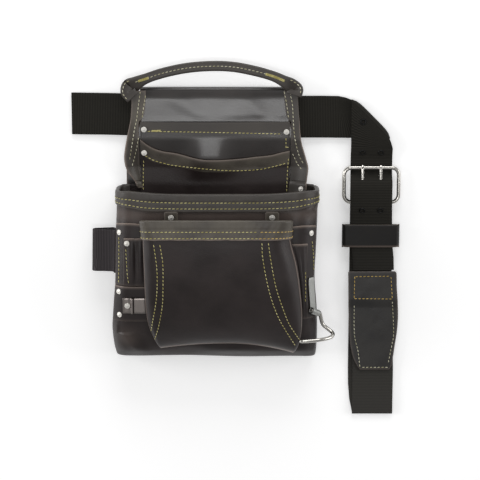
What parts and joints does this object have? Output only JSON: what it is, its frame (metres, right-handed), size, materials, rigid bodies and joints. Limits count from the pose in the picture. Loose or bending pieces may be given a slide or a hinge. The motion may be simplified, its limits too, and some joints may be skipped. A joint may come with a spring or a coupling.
{
  "type": "carpenter nail apron",
  "caption": "Leather tool pouches with a carrying handle on a buckled web waist belt, lying flat, with a tape clip and a swinging steel hammer wire.",
  "frame": {"origin": "middle of the belt tunnel's flat back, on the surface the apron lies on", "axes": "+Z out of the apron's front, +Y towards the carrying handle, +X to the buckle's side"},
  "size_m": [0.4026, 0.4477, 0.1012],
  "materials": {
    "leather": "waxed dark brown leather, half gloss",
    "binding": "grey brown binding leather, satin",
    "webbing": "black ribbed webbing, matt",
    "nickel": "nickel plated steel, polished",
    "zinc": "zinc plated steel, satin",
    "blackened": "blackened eyelets, satin"
  },
  "bodies": {
    "apron": {"back_panel": "leather", "upper_pocket_rear": "leather", "upper_pocket_front": "leather", "side_wing_left": "leather", "side_wing_right": "leather", "handle": "leather", "main_pouch": "leather", "main_rim": "binding", "front_pouch": "leather", "front_rim": "binding", "front_tab_left": "leather", "front_tab_right": "leather", "side_pocket_left": "leather", "slot_pocket_left": "leather", "clip_patch": "leather", "side_pocket_right": "leather", "slim_pocket_right": "leather", "belt_patch": "leather", "keeper": "leather", "belt_webbing": "webbing", "web_loop": "webbing", "buckle_frame": "nickel", "buckle_prong_left": "nickel", "buckle_prong_right": "nickel", "tape_clip": "nickel", "hammer_plate": "zinc", "eyelet_1": "blackened", "eyelet_2": "blackened", "eyelet_3": "blackened", "eyelet_4": "blackened", "eyelet_5": "blackened", "rivet_rear_left": "nickel", "rivet_rear_right": "nickel", "rivet_front_left": "nickel", "rivet_tab_left": "nickel", "rivet_tab_right": "nickel", "rivet_side_left": "nickel", "rivet_slot_left": "nickel", "rivet_patch_top": "nickel", "rivet_patch_low": "nickel", "rivet_side_right": "nickel", "rivet_clip": "nickel", "rivet_mouth": "nickel"},
    "hammer_ring": {"hammer_ring": "nickel"}
  },
  "joints": [
    {"name": "hammer_ring_swing", "type": "hinge", "parent": "apron", "child": "hammer_ring", "pos_m": [0.11717, -0.232, 0.0592], "axis": [-0.642, 0.4191, 0.642], "range_deg": [0, 90]}
  ]
}
